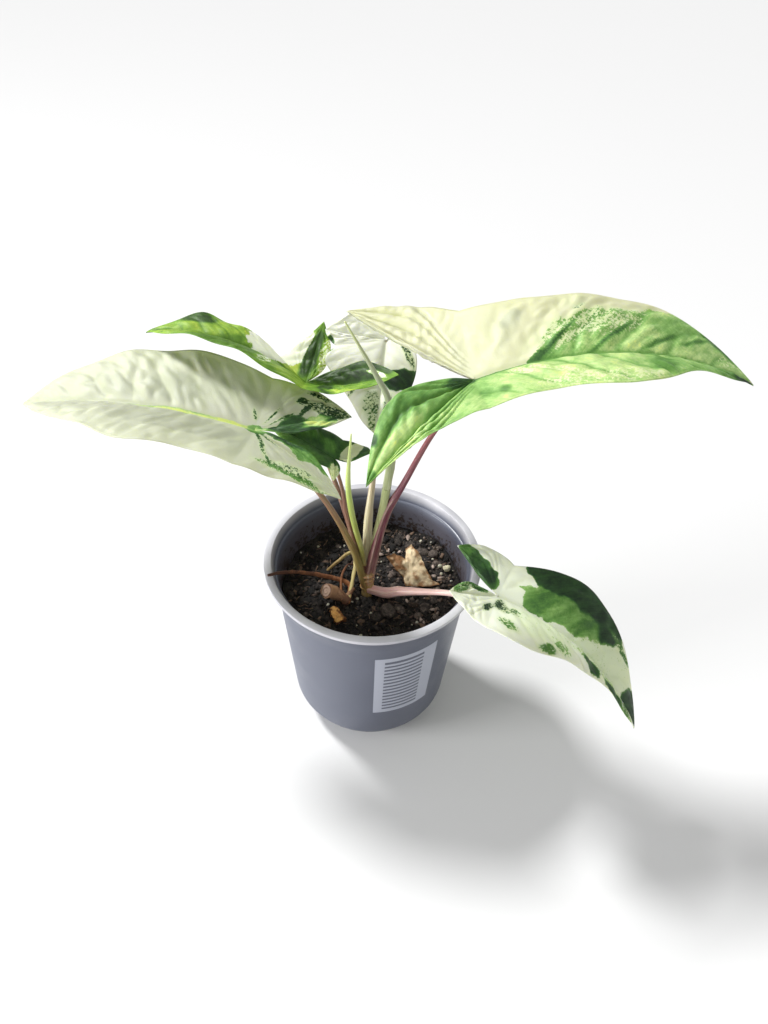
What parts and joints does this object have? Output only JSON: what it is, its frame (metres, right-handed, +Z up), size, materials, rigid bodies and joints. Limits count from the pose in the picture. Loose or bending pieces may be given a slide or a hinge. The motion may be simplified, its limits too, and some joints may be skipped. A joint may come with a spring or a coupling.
{
  "type": "potted variegated syngonium",
  "caption": "Young variegated arrowhead plant with white and green arrow-shaped leaves on thin maroon petioles, in a round tapered grey plastic nursery pot",
  "frame": {"origin": "centre of the pot's base, on the ground", "axes": "+Z up; +X to the right and +Y away from the viewer when the pot is seen from the front, with the largest leaf at the right"},
  "size_m": [0.3122, 0.1207, 0.2278],
  "materials": {
    "pot": "satin",
    "soil": "rough",
    "stems": "satin",
    "blade_right": "satin",
    "blade_left": "satin",
    "blade_upper_left": "satin",
    "blade_back": "satin",
    "blade_low_right": "satin",
    "blade_small": "satin",
    "rolled_leaf": "satin",
    "young_spear": "satin",
    "old_stem_roots": "rough",
    "dry_leaf": "matte",
    "bark_chip": "rough",
    "perlite_bit": "rough"
  },
  "bodies": {
    "root": {"pot": "pot", "soil": "soil", "stems": "stems", "blade_right": "blade_right", "blade_left": "blade_left", "blade_upper_left": "blade_upper_left", "blade_back": "blade_back", "blade_low_right": "blade_low_right", "blade_small": "blade_small", "rolled_leaf": "rolled_leaf", "young_spear": "young_spear", "old_stem_roots": "old_stem_roots", "dry_leaf": "dry_leaf", "bark_chip": "bark_chip", "perlite_bit": "perlite_bit"}
  },
  "joints": []
}
